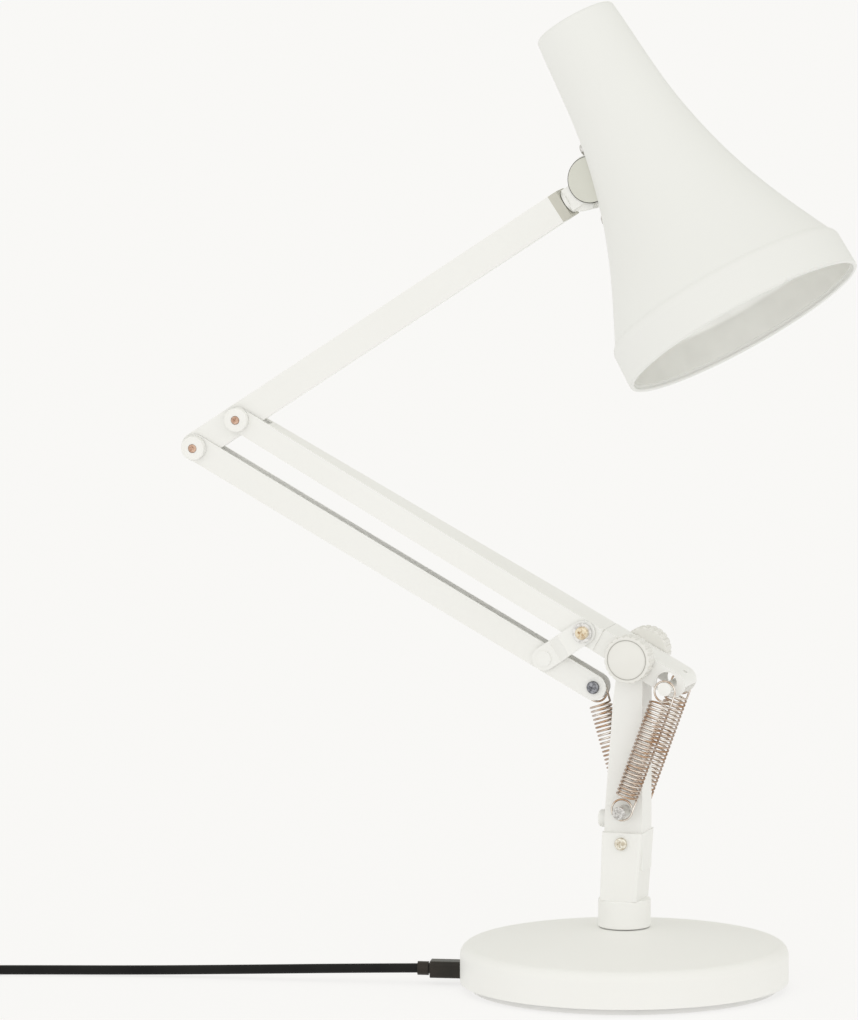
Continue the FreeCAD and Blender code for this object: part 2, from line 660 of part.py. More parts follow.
def shade_outline(inset, mouth):
    """Edges of the shade's profile, in X = radius and Z = -distance, without its closing lines."""
    points = [(r - inset, -s) for s, r in shade_profile]
    top_r = shade_top_r - inset
    top_z = -inset
    k = 1.6
    first = (top_r, top_z - k)
    bend = (top_r - k * (1 - math.sqrt(0.5)), top_z - k * (1 - math.sqrt(0.5)))
    crown = arc((top_r - k, top_z), bend, first)
    flank = spline([first] + points)
    band_s = shade_len - shade_band
    band_r = shade_mouth_r - 0.4 - inset
    last = points[-1]
    shoulder = arc(last, ((last[0] + band_r) / 2 + 0.45, (last[1] - band_s) / 2 + 0.35), (band_r, -band_s))
    band = line((band_r, -band_s), (shade_mouth_r - inset, -mouth))
    return [crown, flank, shoulder, band], (top_r - k, top_z), (shade_mouth_r - inset, -mouth)


def shade_solid(inset, mouth):
    edges, top, rim = shade_outline(inset, mouth)
    closing = [line((0, top[1]), top), line(rim, (0, rim[1])), line((0, rim[1]), (0, top[1]))]
    return revolve_z(edges + closing)


def shade_local():
    """From the shade's own axis frame to the head frame."""
    return FreeCAD.Placement(V(shade_axis_off, 0, shade_axis_s), FreeCAD.Rotation())


def make_shade():
    at = head_place()
    own = at.multiply(shade_local())
    shell = shade_solid(0, shade_len).cut(shade_solid(shade_wall, shade_len + 1))
    lip = Part.makeTorus(shade_mouth_r - 0.75, 0.75, V(0, 0, -shade_len), V(0, 0, 1))
    shell = shell.fuse(lip)
    slot_h = disc_joint_r + 0.4
    slot_w = disc_joint_w / 2 + 0.5
    slot = box(-shade_axis_off - 4, -shade_axis_off + 16, -slot_w, slot_w,
               -shade_axis_s - slot_h, -shade_axis_s + slot_h)
    lug_h = disc_joint_r + lug_rim + 0.3
    lug_slot = box(-shade_axis_off - 4, -shade_axis_off + 16, -lug_w / 2 - 0.4, lug_w / 2 + 0.4,
                   -shade_axis_s - lug_h, -shade_axis_s + lug_h)
    button_hole = cyl(3.3, (0, 0, -3), (0, 0, 3))
    shell = shell.cut([slot, lug_slot, button_hole])
    shell, screws = shade_screws(shell)
    add_at(own, 'shade_shell', shell)
    add_at(own, 'shade_screws', *screws)
    lining = shade_solid(shade_wall + 0.1, shade_len - 1.5).cut(shade_solid(shade_wall + 0.6, shade_len + 1))
    keep = cyl(80, (0, 0, -led_s - 1.5), (0, 0, -shade_len))
    add_at(own, 'shade_lining', lining.common(keep))
    make_disc_joint(at)
    make_light(own)


def shade_screws(shell):
    """The shade with its two screw holes, and the two screws, square to the flank."""
    screws = []
    for s in shade_screw_s:
        r = flank_r(s)
        lean = flank_slope(s)
        n = V(-math.cos(lean), 0, math.sin(lean))
        spot = V(-r, 0, -s)
        hole = Part.makeCylinder(1.1, 6, spot + n * -4, n)
        shell = shell.cut(hole)
        shank = Part.makeCylinder(1.1, 4.2, spot + n * -3.6, n)
        head = Part.makeCylinder(2.05, 1.3, spot + n * 0.3, n)
        head = head.makeFillet(0.5, [e for e in head.Edges if (e.CenterOfMass - spot).dot(n) > 1.5])
        screws.append(shank.fuse(head))
    return shell, screws


def flank_r(s):
    """Outer radius of the shade at distance s, straight between its named points."""
    rows = [(1.6, shade_top_r)] + shade_profile
    for (s0, r0), (s1, r1) in zip(rows, rows[1:]):
        if s0 <= s <= s1:
            return r0 + (r1 - r0) * (s - s0) / (s1 - s0)
    return shade_mouth_r


def flank_slope(s):
    return math.atan2(flank_r(s + 2) - flank_r(s - 2), 4.0)


def make_disc_joint(at):
    discs = []
    for side in (-1, 1):
        y0, y1 = sorted((side * (lug_w / 2 + 0.1), side * disc_joint_w / 2))
        disc = bar_y(disc_joint_r, 0, 0, y0, y1)
        face = side * disc_joint_w / 2
        disc = disc.makeFillet(0.5, [e for e in disc.Edges if abs(e.CenterOfMass.y - face) < 1e-6])
        discs.append(disc.cut(bar_y(1.5, 0, 0, -20, 20)))
    add_at(at, 'friction_discs', *discs)
    reach = disc_joint_w / 2 - 0.8
    add_at(at, 'tilt_bolt', bar_y(1.5, 0, 0, -reach, reach))
    cheek = disc_joint_w / 2 + 0.1
    cheek_t = 0.8
    up, low = shade_axis_s - shade_screw_s[0] + 4.0, shade_axis_s - shade_screw_s[1] - 4.0
    inside = placed(shade_solid(shade_wall + 0.15, shade_len + 1), shade_local())
    cheeks = [box(-4, 9.0, *sorted((s * cheek, s * (cheek + cheek_t))), low, up).common(inside)
              for s in (-1, 1)]
    ring = inside.cut(placed(shade_solid(shade_wall + 1.35, shade_len + 2), shade_local()))
    half = cheek + cheek_t
    straps = [ring.common(box(-8, 9, -half, half, *sorted(ends)))
              for ends in ((disc_joint_r + 0.4, up), (-disc_joint_r - 0.4, low))]
    holes = []
    for s in shade_screw_s:
        lean = flank_slope(s)
        n = V(-math.cos(lean), 0, math.sin(lean))
        spot = V(shade_axis_off - flank_r(s), 0, shade_axis_s - s)
        holes.append(Part.makeCylinder(1.1, 9, spot + n * -7, n))
    holes.append(bar_y(disc_joint_r + 0.15, 0, 0, -cheek, cheek))
    holes.append(bar_y(disc_joint_r + lug_rim + 0.4, 0, 0, -lug_w / 2 - 0.4, lug_w / 2 + 0.4))
    add_at(at, 'disc_bracket', cheeks[0].fuse([cheeks[1]] + straps).cut(holes).removeSplitter())


def make_light(own):
    sink_r = 12.0
    sink = cyl(sink_r, (0, 0, -led_s + 1.2), (0, 0, -led_s + 4.2))
    fins = [box(-11, 11, y - 0.6, y + 0.6, -led_s + 4.0, -led_s + 15.0) for y in (-9, -6, -3, 0, 3, 6, 9)]
    fins = [f.common(cyl(sink_r, (0, 0, -led_s), (0, 0, -led_s + 20))) for f in fins]
    turns = [math.radians(60 * i) for i in range(6)]
    spots = [(0, 0)] + [(6.5 * math.cos(a), 6.5 * math.sin(a)) for a in turns]
    chips = [box(x - 0.9, x + 0.9, y - 0.9, y + 0.9, -led_s - 0.7, -led_s) for x, y in spots]
    board = cyl(sink_r - 0.5, (0, 0, -led_s), (0, 0, -led_s + 1.2))
    add_at(own, 'led_board', board.fuse(chips).removeSplitter())
    rim_r = flank_r(led_s - 2.0) - 1.15 * shade_wall - 0.5
    recess = cyl(sink_r - 0.4, (0, 0, -led_s - 5), (0, 0, -led_s + 1.2))
    carrier = cyl(rim_r, (0, 0, -led_s), (0, 0, -led_s + 2.0)).cut(recess)
    add_at(own, 'heat_sink', carrier.fuse(fins + [sink]).removeSplitter())
    lens_low = -led_s - 5.0
    hollow = cyl(led_r - 1.0, (0, 0, lens_low + 1.0), (0, 0, 0))
    add_at(own, 'diffuser', cyl(led_r, (0, 0, lens_low), (0, 0, -led_s)).cut(hollow))
    body = cyl(5.5, (0, 0, -12.0), (0, 0, -shade_wall - 0.05)).cut(cyl(3.3, (0, 0, -5.0), (0, 0, 0)))
    add_at(own, 'switch_body', body)
    button = cyl(3.0, (0, 0, -4.6 + 1.4), (0, 0, 1.2))
    button = button.makeFillet(0.5, [e for e in button.Edges if abs(e.CenterOfMass.z - 1.2) < 1e-6])
    add_at(own, 'switch_button', button)


# ------------------------------------------------------------------ springs
def helix(turns, z0):
    path = Part.makeHelix(coil_pitch, turns * coil_pitch, coil_r - wire_r)
    path.translate(V(0, 0, z0))
    start = path.Edges[0].FirstParameter
    first = path.Edges[0].valueAt(start)
    aim = path.Edges[0].tangentAt(start)
    ring = Part.Wire(Part.Circle(first, aim, wire_r).toShape())
    return Part.Wire(path.Edges).makePipeShell([ring], True, True)


def loop(z, r):
    """End loop of a spring, standing in the plane of the lever."""
    return Part.makeTorus(r, wire_r, V(0, 0, z), V(0, 1, 0))


def spring_frame(start, end):
    lean = math.degrees(math.atan2(end[0] - start[0], end[1] - start[1]))
    return turn_y(lean, start), math.hypot(end[0] - start[0], end[1] - start[1])


def make_springs():
    pin = (spring_pin_x, spring_pin_z)
    tail = arm_point(tail_pin_u, tail_pin_w)
    at, length = spring_frame(pin, tail)
    low_seat = spring_pin_r + gap + wire_r
    low_loop = loop_r - low_seat
    top_seat = 1.9 + gap + wire_r
    top_loop = length - (loop_r - top_seat)
    z0 = low_loop + loop_r + 2 * wire_r + 0.1
    z1 = top_loop - loop_r - 2 * wire_r - 0.1
    turns = round((z1 - z0) / coil_pitch - 0.35)
    start = (z0 + z1 - turns * coil_pitch) / 2
    coil = helix(turns, start)
    sides = [V(0, s * outer_spring_y, 0) for s in (-1, 1)]
    lower = loop(low_loop, loop_r)
    add_at(at, 'outer_springs', *[moved(piece, v) for v in sides for piece in (coil, lower)])
    add_at(at, 'outer_spring_tops', *[moved(loop(top_loop, loop_r), v) for v in sides])
    make_centre_spring(pin)


def make_centre_spring(pin):
    at, length = spring_frame(pin, tie_end)
    low_loop = foot_loop_r - (1.6 + gap + wire_r)
    z0 = low_loop + foot_loop_r + 2 * wire_r + 0.1
    top_loop = length - (top_loop_r - (1.4 + gap + wire_r))
    z1 = top_loop - top_loop_r - 2 * wire_r - 0.1
    mid = (z0 + z1) / 2
    turns = round((z1 - z0) / 2 / coil_pitch - 0.6)
    low_start = (z0 + mid - turns * coil_pitch) / 2
    high_start = (mid + z1 - turns * coil_pitch) / 2
    add_at(at, 'centre_spring_foot', loop(low_loop, foot_loop_r))
    add_at(at, 'centre_spring_low', helix(turns, low_start))
    add_at(at, 'centre_spring_high', helix(turns, high_start))
    add_at(at, 'centre_spring_top', loop(top_loop, top_loop_r))


def moved(shape, by):
    copy = shape.copy()
    copy.translate(by)
    return copy


# ------------------------------------------------------------------ cable
def cord_run(points, r):
    """Straight runs joined by tangent arcs that are as large as their runs allow."""
    points = [V(*p) for p in points]
    edges = []
    at = points[0]
    for a, b, c in zip(points, points[1:], points[2:]):
        before, after = (b - a), (c - b)
        turn = before.getAngle(after)
        cut_back = 0.45 * min(before.Length, after.Length)
        before.normalize()
        after.normalize()
        first, last = b - before * cut_back, b + after * cut_back
        inward = after - before
        inward.normalize()
        radius = cut_back / math.tan(turn / 2)
        centre_gap = math.hypot(radius, cut_back)
        middle = b + inward * (centre_gap - radius)
        edges.append(Part.LineSegment(at, first).toShape())
        edges.append(Part.Arc(first, middle, last).toShape())
        at = last
    edges.append(Part.LineSegment(at, points[-1]).toShape())
    path = Part.Wire(edges)
    ring = Part.Wire(Part.Circle(points[0], points[1] - points[0], r).toShape())
    return path.makePipeShell([ring], True, False)


def make_cable():
    at = boot_place()
    body = box(base_r - cover_wall, base_r + boot_len, -boot_w / 2, boot_w / 2, -boot_h / 2, boot_h / 2)
    body = body.makeFillet(1.4, [e for e in body.Edges if abs(e.tangentAt(0).x) > 0.9])
    end = base_r + boot_len
    neck = cyl(1.9, (end, 0, 0), (end + 0.8, 0, 0))
    ring = cyl(2.55, (end + 0.8, 0, 0), (end + ring_len + 0.4, 0, 0))
    add_at(at, 'cable_boot', body.fuse([neck, ring]).removeSplitter())
    add('cable', cord_run(cable_points, cable_r), cord_run(tail_points, cable_r))
    x, y = coil_centre
    coil = cyl(coil_out_r, (x, y, 0), (x, y, coil_h)).cut(cyl(coil_in_r, (x, y, -1), (x, y, coil_h + 1)))
    add('cable_coil', coil)
    make_plug_end()


def make_plug_end():
    a, b = V(*tail_points[-2]), V(*tail_points[-1])
    aim = math.degrees(math.atan2(b.y - a.y, b.x - a.x))
    plug_at = FreeCAD.Placement(V(b.x, b.y, usb_h / 2), FreeCAD.Rotation(V(0, 0, 1), aim))
    grip = box(0, usb_len, -usb_w / 2, usb_w / 2, -usb_h / 2, usb_h / 2)
    grip = grip.makeFillet(2.0, [e for e in grip.Edges if abs(e.tangentAt(0).x) > 0.9])
    w, h = usb_shell_w / 2, usb_shell_h / 2
    end = usb_len + usb_shell_l
    outer = box(usb_len, end, -w, w, -h, h)
    inner = box(usb_len + 1, end + 1, -w + 0.4, w - 0.4, -h + 0.4, h - 0.4)
    add_at(plug_at, 'plug_shell', outer.cut(inner))
    tongue = box(usb_len + 1, end - 1.5, -w + 0.5, w - 0.5, 0.0, 1.6)
    add_at(plug_at, 'plug_grip', grip.fuse(tongue))


make_base()
make_swivel()
make_post()
make_shoulder()
make_main_arm()
make_tie_bar()
make_link()
make_forearm()
make_neck()
make_shade()
make_springs()
make_cable()

os.makedirs("parts", exist_ok=True)
for name, shape in parts.items():
    shape.exportStep('parts/' + name + '.step')
    if not shape.isValid():
        print('not valid:', name)
print(len(parts), 'nodes written')
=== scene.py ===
import json
import math
import bmesh
import bpy
from mathutils import Matrix, Vector


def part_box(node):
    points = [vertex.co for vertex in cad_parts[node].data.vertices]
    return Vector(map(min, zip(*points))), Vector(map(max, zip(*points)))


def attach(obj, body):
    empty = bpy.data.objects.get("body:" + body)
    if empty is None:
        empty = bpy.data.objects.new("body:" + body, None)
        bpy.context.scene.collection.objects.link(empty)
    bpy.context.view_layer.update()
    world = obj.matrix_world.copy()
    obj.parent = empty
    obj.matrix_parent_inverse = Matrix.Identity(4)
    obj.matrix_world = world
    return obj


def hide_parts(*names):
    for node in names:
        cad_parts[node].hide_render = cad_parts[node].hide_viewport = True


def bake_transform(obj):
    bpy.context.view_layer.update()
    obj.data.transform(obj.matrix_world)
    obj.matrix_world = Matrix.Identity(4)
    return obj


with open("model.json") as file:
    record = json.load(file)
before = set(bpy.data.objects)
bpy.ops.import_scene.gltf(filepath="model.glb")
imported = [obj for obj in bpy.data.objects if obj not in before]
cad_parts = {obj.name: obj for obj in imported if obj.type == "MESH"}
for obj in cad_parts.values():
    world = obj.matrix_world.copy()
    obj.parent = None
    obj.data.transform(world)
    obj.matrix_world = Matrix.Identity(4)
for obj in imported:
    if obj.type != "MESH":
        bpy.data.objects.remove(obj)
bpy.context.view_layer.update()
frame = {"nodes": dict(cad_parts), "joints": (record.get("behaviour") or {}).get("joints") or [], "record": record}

mm = 0.001
joints = {j["name"]: j for j in frame["joints"]}
slotOf = {s["node"]: s["material_slot"] for s in frame["record"]["subparts"]}


def centreOf(node):
    low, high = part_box(node)
    return (low + high) / 2


# camera and cable come first

camera = {
    "target": (-0.07478, 0.0, 0.17309),
    "azimuth": 17.5,
    "elevation": 8.95,
    "distance": 8.0,
    "lens": 919.7,
    "sensorWidth": 36.0,
    "farthest": 100.0,
}


def makeCamera():
    azimuth = math.radians(camera["azimuth"])
    elevation = math.radians(camera["elevation"])
    away = Vector((math.sin(azimuth) * math.cos(elevation), -math.cos(azimuth) * math.cos(elevation),
                   math.sin(elevation)))
    data = bpy.data.cameras.new("lampCamera")
    data.sensor_fit = "HORIZONTAL"
    data.sensor_width = camera["sensorWidth"]
    data.lens = camera["lens"]
    data.clip_end = camera["farthest"]
    view = bpy.data.objects.new("lampCamera", data)
    bpy.context.scene.collection.objects.link(view)
    view.location = Vector(camera["target"]) + camera["distance"] * away
    view.rotation_euler = away.to_track_quat("Z", "Y").to_euler()
    bpy.context.scene.camera = view


cable = {
    "radius": 0.001725,
    "length": 1.85,
    "exit": (-0.075, -0.0132, 0.0056),
    "run": [(-75.0, -13.2, 5.6), (-99.4, -17.3, 4.9), (-134.5, -22.5, 3.5), (-174.4, -28.8, 2.1),
            (-213.3, -38.4, 1.76), (-249.0, -49.9, 1.76), (-271.3, -59.85, 1.76)],
    "tail": [(-290.5, -110.2, 11.8), (-285.0, -120.8, 8.9), (-271.5, -130.2, 5.4), (-253.0, -133.0, 4.05)],
    "turnsInLayer": 3.0,
    "climbTurns": 5.0 / 12.0,    # part of a turn in which the cable climbs to the next layer
    "layers": 4,
    "pointsInTurn": 24,
    "startAngle": 114.1,
    "pitch": 3.5 * mm,           # from one turn to the next, and from one layer to the next
    "inset": 1.75 * mm,          # from the coil's outer edge to the middle of its outer turn
    "rest": 1.76 * mm,           # height of the lowest turn's middle
    "resolution": 6,
}


def ringPoint(middle, radius, angle, height):
    return (middle.x + radius * math.cos(angle), middle.y + radius * math.sin(angle), height)


# every other layer winds inwards, and the ones between wind outwards
def coilPoints():
    low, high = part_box("cable_coil")
    middle = (low + high) / 2
    outer = (high.x - low.x) / 2 - cable["inset"]
    inner = outer - cable["turnsInLayer"] * cable["pitch"]
    steps = cable["pointsInTurn"]
    count = round(cable["turnsInLayer"] * steps)
    climb = round(cable["climbTurns"] * steps)
    angle = math.radians(cable["startAngle"])
    radius = outer
    height = low.z + cable["rest"]
    points = []
    for layer in range(cable["layers"]):
        start = radius
        goal = inner if layer % 2 == 0 else outer
        for i in range(count):
            radius = start + (goal - start) * i / count
            points.append(ringPoint(middle, radius, angle, height))
            angle += 2 * math.pi / steps
        radius = goal
        if layer < cable["layers"] - 1:
            for i in range(climb):
                lift = cable["pitch"] * 0.5 * (1 - math.cos(math.pi * i / climb))
                points.append(ringPoint(middle, radius, angle, height + lift))
                angle += 2 * math.pi / steps
            height += cable["pitch"]
    points.append(ringPoint(middle, radius, angle, height))
    return points


def makeCable():
    run = [tuple(v * mm for v in p) for p in cable["run"]]
    tail = [tuple(v * mm for v in p) for p in cable["tail"]]
    points = run + coilPoints() + tail
    curve = bpy.data.curves.new("supplyCable", "CURVE")
    curve.dimensions = "3D"
    spline = curve.splines.new("NURBS")
    spline.points.add(len(points) - 1)
    for point, place in zip(spline.points, points):
        point.co = (*place, 1.0)
        point.radius = cable["radius"]    # as a bevel depth it would give the curve's box the wrong size
    spline.order_u = 3
    spline.use_endpoint_u = True
    curve.resolution_u = cable["resolution"]
    curve.bevel_depth = 1.0
    curve.bevel_resolution = 5
    curve.use_fill_caps = True
    cord = bpy.data.objects.new("supplyCable", curve)
    bpy.context.scene.collection.objects.link(cord)
    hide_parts("cable", "cable_coil")
    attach(cord, "base")
    return cord


# mesh helpers

def addMesh(name, mesh, body=None, smooth=True):
    piece = bpy.data.objects.new(name, mesh)
    bpy.context.scene.collection.objects.link(piece)
    if smooth:
        for face in mesh.polygons:
            face.use_smooth = True
    if body:
        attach(piece, body)
    return piece


def wireMesh(name, points, radius):
    curve = bpy.data.curves.new(name + "Path", "CURVE")
    curve.dimensions = "3D"
    spline = curve.splines.new("POLY")
    spline.points.add(len(points) - 1)
    for point, place in zip(spline.points, points):
        point.co = (*place, 1.0)
    curve.bevel_depth = radius
    curve.bevel_resolution = 3
    curve.use_fill_caps = True
    path = bpy.data.objects.new(name + "Path", curve)
    bpy.context.scene.collection.objects.link(path)
    bpy.context.view_layer.update()
    mesh = bpy.data.meshes.new_from_object(path)
    mesh.name = name
    bpy.data.objects.remove(path)
    bpy.data.curves.remove(curve)
    return mesh


# skins a closed row of rings that have as many points each
def joinRings(mesh, rings):
    count = len(rings[0])
    for a, b in zip(rings, rings[1:] + rings[:1]):
        for i in range(count):
            mesh.faces.new((a[i], a[(i + 1) % count], b[(i + 1) % count], b[i]))


def closeMesh(name, mesh):
    bmesh.ops.recalc_face_normals(mesh, faces=mesh.faces)
    data = bpy.data.meshes.new(name)
    mesh.to_mesh(data)
    mesh.free()
    return data


# turns a closed profile of (radius, height) points about the Z axis of its place
def turnedMesh(name, profile, place, steps=96):
    mesh = bmesh.new()
    rings = []
    for i in range(steps):
        a = 2 * math.pi * i / steps
        rings.append([mesh.verts.new(place @ Vector((r * math.cos(a), r * math.sin(a), z)))
                      for r, z in profile])
    joinRings(mesh, rings)
    bmesh.ops.remove_doubles(mesh, verts=mesh.verts, dist=1e-7)
    bmesh.ops.dissolve_degenerate(mesh, edges=mesh.edges, dist=1e-8)
    return closeMesh(name, mesh)


def axisPlace(centre, axis):
    return Matrix.Translation(centre) @ axis.to_track_quat("Z", "Y").to_matrix().to_4x4()


# springs

spring = {
    "wire": 0.37 * mm,
    "coil": 3.88 * mm,
    "pitch": 1.52 * mm,
    "seatGap": 0.3 * mm,
    "lead": 0.1 * mm,            # from the end loop to the first turn
    "lowPin": 2.2 * mm,
    "highPin": 1.9 * mm,
    "centreLowPin": 1.6 * mm,
    "centreHighPin": 1.4 * mm,
    "pointsInTurn": 20,
    "pointsInLoop": 28,
    "loopSweep": 325.0,
}


# the end loop stands along the spring's axis; closed is 1 at the far end and -1 at the near one
def hookPoints(base, axis, side, level, closed):
    steps = spring["pointsInLoop"]
    radius = spring["coil"]
    points = []
    for i in range(steps + 1):
        turn = math.radians(spring["loopSweep"]) * i / steps
        along = level + closed * radius * math.sin(turn)
        points.append(base + axis * along + side * (radius * math.cos(turn)))
    return points


def coilLine(base, axis, side, start, turns, pitch):
    across = axis.cross(side)
    steps = spring["pointsInTurn"]
    radius = spring["coil"]
    points = []
    for i in range(round(turns * steps) + 1):
        turn = 2 * math.pi * i / steps
        place = base + axis * (start + pitch * i / steps)
        points.append(place + side * (radius * math.cos(turn)) + across * (radius * math.sin(turn)))
    return points


def springLevels(length, lowPin, highPin):
    radius, wire, gap = spring["coil"], spring["wire"], spring["seatGap"]
    lowHook = radius - (lowPin + gap + wire)
    highHook = length - (radius - (highPin + gap + wire))
    start = lowHook + radius + 2 * wire + spring["lead"]
    end = highHook - radius - 2 * wire - spring["lead"]
    return lowHook, start, end, highHook


# the line from the pin at the post's foot to an upper pin
def springSpan(upperPin):
    low, high = centreOf("spring_pin"), centreOf(upperPin)
    span = Vector((high.x - low.x, 0, high.z - low.z))
    axis = span.normalized()
    side = Vector((axis.z, 0, -axis.x))
    return low, span.length, axis, side


def addSpring(name, points, metal, replaced):
    piece = addMesh(name, wireMesh(name, points, spring["wire"]))
    piece.data.materials.append(metal)
    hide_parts(*replaced)
    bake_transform(piece)


def makeOuterSprings(metal):
    low, length, axis, side = springSpan("tail_pin")
    lowHook, start, end, highHook = springLevels(length, spring["lowPin"], spring["highPin"])
    turns = round((end - start) / spring["pitch"])
    pitch = (end - start) / turns
    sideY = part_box("outer_springs")[0].y + spring["coil"] + spring["wire"]
    for name, y in (("nearSpring", sideY), ("farSpring", -sideY)):
        base = Vector((low.x, y, low.z))
        points = hookPoints(base, axis, side, lowHook, -1)[::-1]
        points += coilLine(base, axis, side, start, turns, pitch)
        points += hookPoints(base, axis, side, highHook, 1)
        addSpring(name, points, metal, ("outer_springs", "outer_spring_tops"))


# two halves, because the spring crosses two joints
def makeCentreSpring(metal):
    low, length, axis, side = springSpan("centre_spring_pin")
    base = Vector((low.x, 0, low.z))
    levels = springLevels(length, spring["centreLowPin"], spring["centreHighPin"])
    lowHook, start, end, highHook = levels
    turns = 2 * round((end - start) / spring["pitch"] / 2)
    pitch = (end - start) / turns
    middle = (start + end) / 2
    lower = hookPoints(base, axis, side, lowHook, -1)[::-1]
    lower += coilLine(base, axis, side, start, turns / 2, pitch)
    upper = coilLine(base, axis, side, middle, turns / 2, pitch)
    upper += hookPoints(base, axis, side, highHook, 1)
    addSpring("centreSpringLower", lower, metal, ("centre_spring_foot", "centre_spring_low"))
    addSpring("centreSpringUpper", upper, metal, ("centre_spring_high", "centre_spring_top"))


# strap round one place of the coil's bundle

coilTie = {
    "angle": 250.0,
    "width": 6.0 * mm,
    "thickness": 0.7 * mm,
    "slack": 0.25 * mm,
    "bundleInside": 12.25 * mm,  # radius of the coil's open middle
    "corner": 2.2 * mm,
    "cornerSteps": 6,
    "lift": 0.05 * mm,
}


def strapOutline(halfWide, halfTall, grow):
    corner, steps = coilTie["corner"], coilTie["cornerSteps"]
    outline = []
    for k in range(4):
        signX = 1 if k in (0, 3) else -1
        signZ = 1 if k in (0, 1) else -1
        for i in range(steps + 1):
            a = math.pi / 2 * k + math.pi / 2 * i / steps
            outline.append((signX * (halfWide - corner) + (corner + grow) * math.cos(a),
                            signZ * (halfTall - corner) + (corner + grow) * math.sin(a)))
    return outline


def makeCoilTie(material):
    low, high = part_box("cable_coil")
    middle = (low + high) / 2
    outer, inner = (high.x - low.x) / 2, coilTie["bundleInside"]
    slack, thick = coilTie["slack"], coilTie["thickness"]
    halfWide = (outer - inner) / 2 + slack
    halfTall = (high.z - low.z) / 2 + slack / 2
    angle = math.radians(coilTie["angle"])
    outward = Vector((math.cos(angle), math.sin(angle), 0))
    along = Vector((-math.sin(angle), math.cos(angle), 0))
    heart = Vector((middle.x, middle.y, low.z + halfTall + thick + coilTie["lift"]))
    heart += outward * (inner + outer) / 2
    inside, outside = (strapOutline(halfWide, halfTall, grow) for grow in (0.0, thick))
    mesh = bmesh.new()
    rings = []
    for outline, way in ((inside, -1), (outside, -1), (outside, 1), (inside, 1)):
        edge = along * (way * coilTie["width"] / 2)
        rings.append([mesh.verts.new(heart + outward * x + Vector((0, 0, z)) + edge) for x, z in outline])
    joinRings(mesh, rings)
    data = closeMesh("coilTie", mesh)
    data.materials.append(material)
    return addMesh("coilTie", data, body="base", smooth=False)


# thin darker ring at the parting line between each knob's smooth cap and its grip: painted shade of the groove
# there

knobRing = {"radius": 7.25 * mm, "wire": 0.16 * mm, "setBack": 1.22 * mm, "wirePoints": 8}


def makeKnobRings(material):
    r, wire, count = knobRing["radius"], knobRing["wire"], knobRing["wirePoints"]
    angles = [2 * math.pi * i / count for i in range(count)]
    profile = [(r + wire * math.cos(a), wire * math.sin(a)) for a in angles]
    for node, body, side in (("near_knob", "knob_near", -1), ("far_knob", "knob_far", 1)):
        low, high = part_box(node)
        face = low.y if side < 0 else high.y
        centre = Vector(((low.x + high.x) / 2, face - side * knobRing["setBack"], (low.z + high.z) / 2))
        place = axisPlace(centre, Vector((0, side, 0)))
        name = node + "Ring"
        piece = addMesh(name, turnedMesh(name, profile, place), body=body)
        piece.data.materials.append(material)


# the head joint's two discs with closed faces, and round each a dark ring that is painted shade of the narrow gap
# at the disc's edge

frictionDisc = {
    "radius": 8.4 * mm,
    "hole": 1.55 * mm,
    "holeEnd": 3.8 * mm,
    "back": 1.6 * mm,
    "front": 4.5 * mm,
    "edge": 0.3 * mm,
    "edgeShare": 0.3,
    # width and depth of the dark ring that paints the shade at the disc's edge
    "line": 0.2 * mm,
    "lineDepth": 1.2 * mm,
    "lineOverlap": 0.02 * mm,
}


def makeFrictionDiscs(face, shadeLineLook):
    joint = joints["head_tilt"]
    centre, axis = Vector(joint["pos_m"]), Vector(joint["axis"]).normalized()
    disc = frictionDisc
    r, back, front, edge = disc["radius"], disc["back"], disc["front"], disc["edge"]
    bevel = disc["edgeShare"] * edge
    profile = [(disc["hole"], back), (r, back), (r, front - edge), (r - bevel, front - bevel),
               (r - edge, front), (0.0, front), (0.0, disc["holeEnd"]), (disc["hole"], disc["holeEnd"])]
    lineIn, lineOut = r - disc["lineOverlap"], r + disc["line"]
    lineLow, lineTop = front - disc["lineDepth"], front - edge
    line = [(lineIn, lineLow), (lineOut, lineLow), (lineOut, lineTop), (lineIn, lineTop)]
    for name, side in (("nearDisc", 1), ("farDisc", -1)):
        place = axisPlace(centre, axis * side)
        piece = addMesh(name, turnedMesh(name, profile, place), body="head",
                        smooth=False)
        piece.data.materials.append(face)
        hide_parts("friction_discs")
        # the painted shade ring round this disc
        shadeLineName = name + "Line"
        piece = addMesh(shadeLineName, turnedMesh(shadeLineName, line, place), body="head",
                        smooth=False)
        piece.data.materials.append(shadeLineLook)


# shader node groups

def newGroup(name, inputs, outputs):
    group = bpy.data.node_groups.new(name, "ShaderNodeTree")
    for label, kind, value in inputs:
        socket = group.interface.new_socket(name=label, in_out="INPUT", socket_type=kind)
        socket.default_value = value
    for label, kind in outputs:
        group.interface.new_socket(name=label, in_out="OUTPUT", socket_type=kind)
    return group, group.nodes.new("NodeGroupInput"), group.nodes.new("NodeGroupOutput")


def addNode(tree, kind, **values):
    node = tree.nodes.new(kind)
    for key, value in values.items():
        setattr(node, key, value)
    return node


def noiseAt(tree, coords, scale, detail, rough=0.5):
    noise = addNode(tree, "ShaderNodeTexNoise")
    noise.inputs["Detail"].default_value = detail
    noise.inputs["Roughness"].default_value = rough
    tree.links.new(coords, noise.inputs["Vector"])
    if isinstance(scale, bpy.types.NodeSocket):
        tree.links.new(scale, noise.inputs["Scale"])
    else:
        noise.inputs["Scale"].default_value = scale
    return noise.outputs["Fac"]


